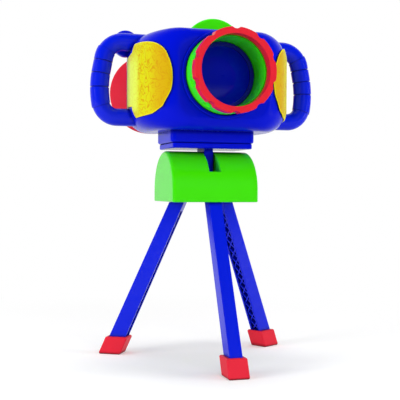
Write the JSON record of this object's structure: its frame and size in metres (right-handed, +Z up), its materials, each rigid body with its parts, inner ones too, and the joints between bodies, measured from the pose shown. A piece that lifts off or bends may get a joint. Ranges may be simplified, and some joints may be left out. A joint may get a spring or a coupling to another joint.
{
  "type": "telescope on tripod",
  "caption": "Child's two-eyed blue telescope with a turning focus barrel, a focus wheel, side handles and an eye mask, on a folding tripod with crossed-rib legs.",
  "frame": {"origin": "on the floor, under the tripod's axis, midway among the soles", "axes": "+Z up, -Y the way the telescope looks, +X to the right as seen from the front"},
  "size_m": [0.2134, 0.1679, 0.3084],
  "materials": {
    "blue_plastic": "moulded, semi-gloss",
    "green_plastic": "moulded, semi-gloss",
    "red_plastic": "moulded, semi-gloss",
    "red_rubber": "soft moulded, satin",
    "yellow_rubber": "soft overmould with a mottled orange print",
    "steel": "plain",
    "dark_rubber": "matte",
    "dark_plastic": "matte, against stray light",
    "lens_glass": "clear with a dark blue coating"
  },
  "bodies": {
    "tripod": {"tripod_head": "green_plastic", "tilt_pin": "steel", "tilt_washers": "dark_rubber", "front_leg_pin": "steel", "left_leg_pin": "steel", "right_leg_pin": "steel"},
    "front_leg": {"front_leg": "blue_plastic", "front_foot": "red_rubber"},
    "left_leg": {"left_leg": "blue_plastic", "left_foot": "red_rubber"},
    "right_leg": {"right_leg": "blue_plastic", "right_foot": "red_rubber"},
    "platform": {"tilt_platform": "blue_plastic"},
    "telescope": {"mount_block": "blue_plastic", "block_screws": "steel", "front_shell": "blue_plastic", "rear_shell": "blue_plastic", "shell_screws": "steel", "left_handle": "blue_plastic", "right_handle": "blue_plastic", "left_pad": "yellow_rubber", "right_pad": "yellow_rubber", "left_strap_lug": "blue_plastic", "right_strap_lug": "blue_plastic", "eye_mask": "red_rubber"},
    "focus_barrel": {"focus_sleeve": "green_plastic", "grip_ring": "red_plastic"},
    "objective": {"lens_cell": "blue_plastic", "objective_lens": "lens_glass", "lens_retainer": "blue_plastic"},
    "wheel": {"focus_wheel": "green_plastic", "wheel_spindle": "steel"},
    "eyepieces": {"eyepiece_bridge": "dark_plastic", "left_eyepiece": "dark_plastic", "right_eyepiece": "dark_plastic", "left_eye_lens": "lens_glass", "right_eye_lens": "lens_glass"}
  },
  "joints": [
    {"name": "head_tilt", "type": "hinge", "parent": "tripod", "child": "platform", "pos_m": [0, 0, 0.155], "axis": [1, 0, 0], "range_deg": [-40, 40]},
    {"name": "telescope_lift", "type": "slide", "parent": "platform", "child": "telescope", "axis": [0, 0, 1], "range_m": [0, 0.03]},
    {"name": "barrel_turn", "type": "hinge", "parent": "telescope", "child": "focus_barrel", "pos_m": [0, -0.06, 0.255], "axis": [0, 1, 0], "range_deg": [-40, 40]},
    {"name": "objective_slide", "type": "slide", "parent": "telescope", "child": "objective", "axis": [0, 1, 0], "range_m": [-0.002, 0.002]},
    {"name": "wheel_turn", "type": "hinge", "parent": "telescope", "child": "wheel", "pos_m": [0, -0.0225, 0.28], "axis": [0, 1, 0], "range_deg": [-150, 150]},
    {"name": "eyepiece_slide", "type": "slide", "parent": "telescope", "child": "eyepieces", "axis": [0, 1, 0], "range_m": [-0.003, 0.003]},
    {"name": "front_leg_fold", "type": "hinge", "parent": "tripod", "child": "front_leg", "pos_m": [0, -0.0235, 0.148], "axis": [1, 0, 0], "range_deg": [0, 24]},
    {"name": "left_leg_fold", "type": "hinge", "parent": "tripod", "child": "left_leg", "pos_m": [-0.02035, 0.01175, 0.148], "axis": [-0.5, -0.866, 0], "range_deg": [0, 24]},
    {"name": "right_leg_fold", "type": "hinge", "parent": "tripod", "child": "right_leg", "pos_m": [0.02035, 0.01175, 0.148], "axis": [-0.5, 0.866, 0], "range_deg": [0, 24]}
  ],
  "couplings": [
    {"joint": "objective_slide", "follows": "barrel_turn", "m_per_rad": 0.00286},
    {"joint": "eyepiece_slide", "follows": "wheel_turn", "m_per_rad": 0.001145}
  ]
}
